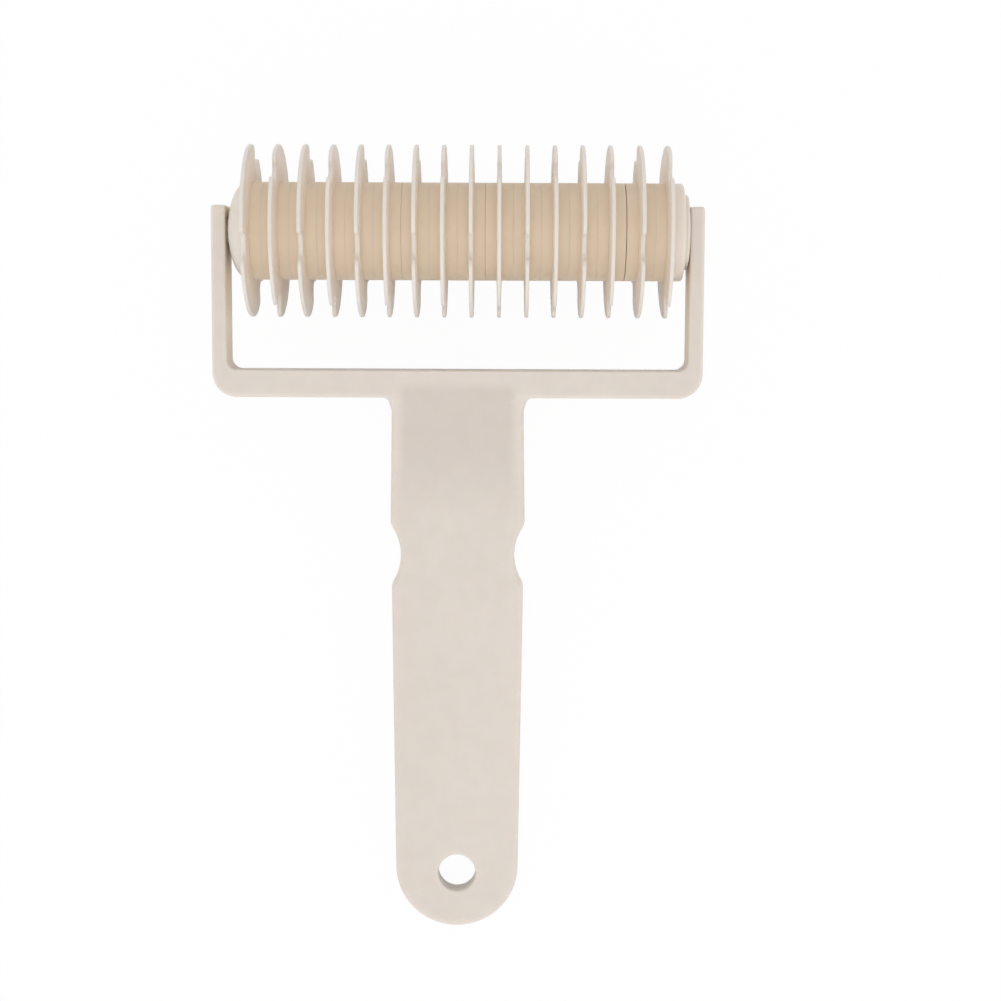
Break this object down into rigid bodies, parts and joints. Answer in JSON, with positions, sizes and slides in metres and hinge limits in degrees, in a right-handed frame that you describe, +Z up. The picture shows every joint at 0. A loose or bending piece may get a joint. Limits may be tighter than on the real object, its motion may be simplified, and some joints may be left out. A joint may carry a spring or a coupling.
{
  "type": "lattice roller cutter",
  "caption": "Lattice roller cutter: a row of notched cutting wheels on a keyed spindle turns freely in a yoke with a flat handle, finger notches and a hanging hole.",
  "frame": {"origin": "on the table under the middle of the tool's bounding box, as it rests on its wheel rims and the end of its handle", "axes": "+X along the roller's axis, from the spindle's domed head to the end cap; +Y from the handle to the wheels; +Z up"},
  "size_m": [0.12, 0.195, 0.042],
  "materials": {
    "frame_plastic": "satin ivory moulded plastic",
    "wheel_plastic": "satin cream moulded plastic, paler where it is thin",
    "spindle_plastic": "satin ivory moulded plastic"
  },
  "bodies": {
    "frame": {"frame": "frame_plastic"},
    "roller": {"spindle": "spindle_plastic", "cutter_wheel_01": "wheel_plastic", "cutter_wheel_02": "wheel_plastic", "cutter_wheel_03": "wheel_plastic", "cutter_wheel_04": "wheel_plastic", "cutter_wheel_05": "wheel_plastic", "cutter_wheel_06": "wheel_plastic", "cutter_wheel_07": "wheel_plastic", "cutter_wheel_08": "wheel_plastic", "cutter_wheel_09": "wheel_plastic", "cutter_wheel_10": "wheel_plastic", "cutter_wheel_11": "wheel_plastic", "cutter_wheel_12": "wheel_plastic", "cutter_wheel_13": "wheel_plastic", "cutter_wheel_14": "wheel_plastic", "cutter_wheel_15": "wheel_plastic", "cutter_wheel_16": "wheel_plastic", "end_cap": "spindle_plastic"}
  },
  "joints": [
    {"name": "roller_spin", "type": "hinge", "parent": "frame", "child": "roller", "pos_m": [0, 0.07651, 0.021], "axis": [1, 0, 0], "continuous": true}
  ]
}
